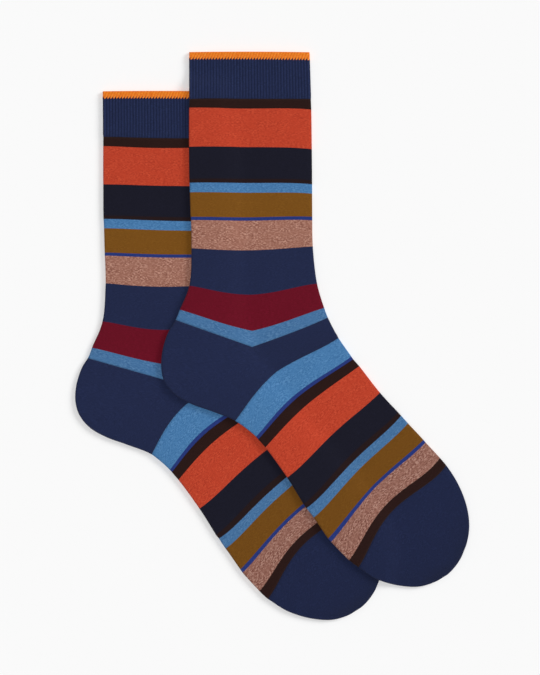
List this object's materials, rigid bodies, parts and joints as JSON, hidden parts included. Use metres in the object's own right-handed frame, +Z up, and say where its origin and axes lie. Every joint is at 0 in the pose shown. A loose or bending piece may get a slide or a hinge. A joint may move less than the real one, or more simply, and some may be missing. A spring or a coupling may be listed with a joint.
{
  "type": "pair of striped mid-calf socks",
  "caption": "Ribbed-cuff, striped mid-calf knitted socks laid flat, one resting partly on the other, toes to the right.",
  "frame": {"origin": "on the surface that the socks lie on, under the centre of the pair's bounding box", "axes": "+Z up out of the surface, +Y from the toes towards the cuffs, +X towards the shin and the toes"},
  "size_m": [0.284, 0.4094, 0.0081],
  "materials": {
    "edging_knit": "matte orange cotton, knitted welt with slanted stitches",
    "cuff_rib": "matte navy cotton, elastic rib",
    "leg_stripes": "matte combed cotton jersey in plain bands, rust and pink bands flecked",
    "heel_knit": "matte navy cotton jersey",
    "foot_stripes": "matte combed cotton jersey in plain bands, rust and pink bands flecked",
    "toe_knit": "matte navy cotton jersey"
  },
  "bodies": {
    "root": {"lower_edging": "edging_knit", "lower_cuff": "cuff_rib", "lower_leg": "leg_stripes", "lower_heel": "heel_knit", "lower_foot": "foot_stripes", "lower_toe": "toe_knit", "upper_edging": "edging_knit", "upper_cuff": "cuff_rib", "upper_leg": "leg_stripes", "upper_heel": "heel_knit", "upper_foot": "foot_stripes", "upper_toe": "toe_knit"}
  },
  "joints": []
}
